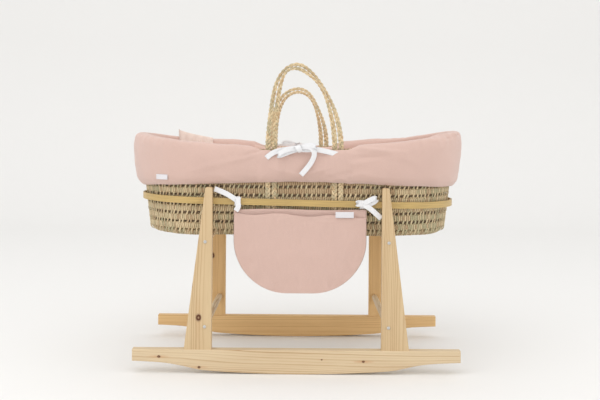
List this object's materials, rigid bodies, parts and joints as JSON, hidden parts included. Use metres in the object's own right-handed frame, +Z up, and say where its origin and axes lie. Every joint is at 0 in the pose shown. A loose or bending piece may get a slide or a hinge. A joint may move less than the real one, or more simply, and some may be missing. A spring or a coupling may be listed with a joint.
{
  "type": "bassinet on stand",
  "caption": "Oval woven baby basket with plaited handles, padded cloth liner and hanging pocket, resting on crossbars inside a bent-wood hoop on a rocking pine stand.",
  "frame": {"origin": "on the floor under the middle of the stand, where both rockers touch it", "axes": "+X along the basket towards its higher head end, +Y across it towards the rear handle, +Z up"},
  "size_m": [0.8564, 0.426, 0.7513],
  "materials": {
    "pine": "unvarnished planed pine with growth lines and small knots",
    "hoop_wood": "smooth bent rattan-yellow wood, satin",
    "dowel_beech": "plain turned wood",
    "palm_leaf": "palm leaf wrapped round horizontal coils, matt",
    "plaited_palm": "plaited palm leaf, matt",
    "zinc_steel": "zinc plated",
    "pink_cotton": "plain woven cotton over wadding, matt",
    "liner_cotton": "plain woven cotton, matt",
    "coverlet_cotton": "plain woven cotton over wadding, matt",
    "white_tape": "white cotton tape",
    "label": "blank woven label",
    "mattress_cover": "white cotton cover over foam"
  },
  "bodies": {
    "stand": {"front_rocker": "pine", "rear_rocker": "pine", "front_left_leg": "pine", "front_right_leg": "pine", "rear_left_leg": "pine", "rear_right_leg": "pine", "left_upper_crossbar": "pine", "right_upper_crossbar": "pine", "left_lower_crossbar": "pine", "right_lower_crossbar": "pine", "upper_crossbar_bolts": "zinc_steel", "lower_crossbar_bolts": "zinc_steel", "leg_dowels": "dowel_beech", "support_hoop": "hoop_wood", "hoop_screws": "zinc_steel", "pocket_left_tie": "white_tape", "pocket_right_tie": "white_tape"},
    "basket": {"basket_wall": "palm_leaf", "basket_floor": "palm_leaf", "basket_rim": "palm_leaf", "front_left_handle_band": "plaited_palm", "front_right_handle_band": "plaited_palm", "rear_left_handle_band": "plaited_palm", "rear_right_handle_band": "plaited_palm", "liner_skirt": "pink_cotton", "basket_lining": "liner_cotton", "front_liner_tie": "white_tape", "rear_liner_tie": "white_tape", "liner_tag": "label"},
    "front_handle": {"front_handle": "plaited_palm"},
    "rear_handle": {"rear_handle": "plaited_palm"},
    "mattress": {"mattress": "mattress_cover"},
    "coverlet": {"coverlet": "coverlet_cotton"},
    "pocket": {"pocket_back_panel": "pink_cotton", "pocket_front_panel": "pink_cotton", "pocket_tag": "label"}
  },
  "joints": [
    {"name": "basket_lift", "type": "slide", "parent": "stand", "child": "basket", "axis": [0, 0, 1], "range_m": [0, 0.35]},
    {"name": "front_handle_fold", "type": "hinge", "parent": "basket", "child": "front_handle", "pos_m": [0.0165, -0.18629, 0.5473], "axis": [1, 0, 0], "range_deg": [-60, 90]},
    {"name": "rear_handle_fold", "type": "hinge", "parent": "basket", "child": "rear_handle", "pos_m": [0, 0.18629, 0.5473], "axis": [-1, 0, 0], "range_deg": [-60, 90]},
    {"name": "mattress_lift", "type": "slide", "parent": "basket", "child": "mattress", "axis": [0, 0, 1], "range_m": [0, 0.3]},
    {"name": "coverlet_lift", "type": "slide", "parent": "mattress", "child": "coverlet", "axis": [0, 0, 1], "range_m": [0, 0.2]},
    {"name": "pocket_swing", "type": "hinge", "parent": "stand", "child": "pocket", "pos_m": [0.007, -0.1775, 0.39514], "axis": [-1, 0, 0], "range_deg": [-8, 70]}
  ]
}
